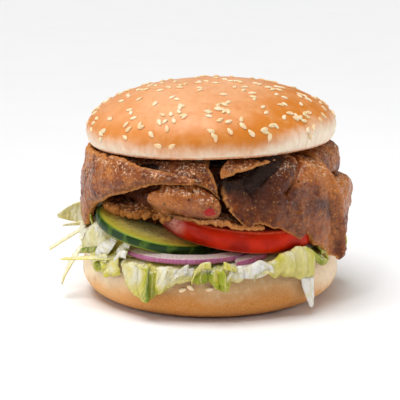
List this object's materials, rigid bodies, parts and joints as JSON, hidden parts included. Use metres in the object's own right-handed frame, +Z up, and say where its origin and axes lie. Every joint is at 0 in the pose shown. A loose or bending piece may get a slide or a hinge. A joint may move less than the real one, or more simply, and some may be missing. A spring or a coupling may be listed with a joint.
{
  "type": "lamb doner burger",
  "caption": "Seeded burger bun filled with folded slices of shaved lamb doner, tomato, cucumber, red onion and shredded lettuce that spills over the rim.",
  "frame": {"origin": "centre of the bottom bun's flat base, where it rests on the table", "axes": "+Z up through the middle of the bun, -Y towards the front that shows the cucumber and tomato, +X to the right of that front"},
  "size_m": [0.1239, 0.1093, 0.0885],
  "materials": {
    "bun": "soft baked crust, matt",
    "crust": "golden baked crust with sesame seeds, satin",
    "tomato": "wet, glossy",
    "cucumber": "wet flesh with a dark green skin",
    "onion": "wet, white with a purple skin",
    "lettuce": "crisp leaf, satin",
    "doner": "roasted meat, greasy sheen"
  },
  "bodies": {
    "root": {"bottom_bun": "bun", "top_bun": "crust", "tomato": "tomato", "cucumber": "cucumber", "onion_ring": "onion", "onion_ring_lower": "onion", "lettuce": "lettuce", "meat_pile": "doner", "meat_left": "doner", "meat_roll": "doner", "meat_crumb": "doner", "meat_right": "doner", "meat_sliver": "doner", "meat_right_back": "doner", "meat_rear_right": "doner", "meat_rear_middle": "doner", "meat_rear_left": "doner"}
  },
  "joints": []
}
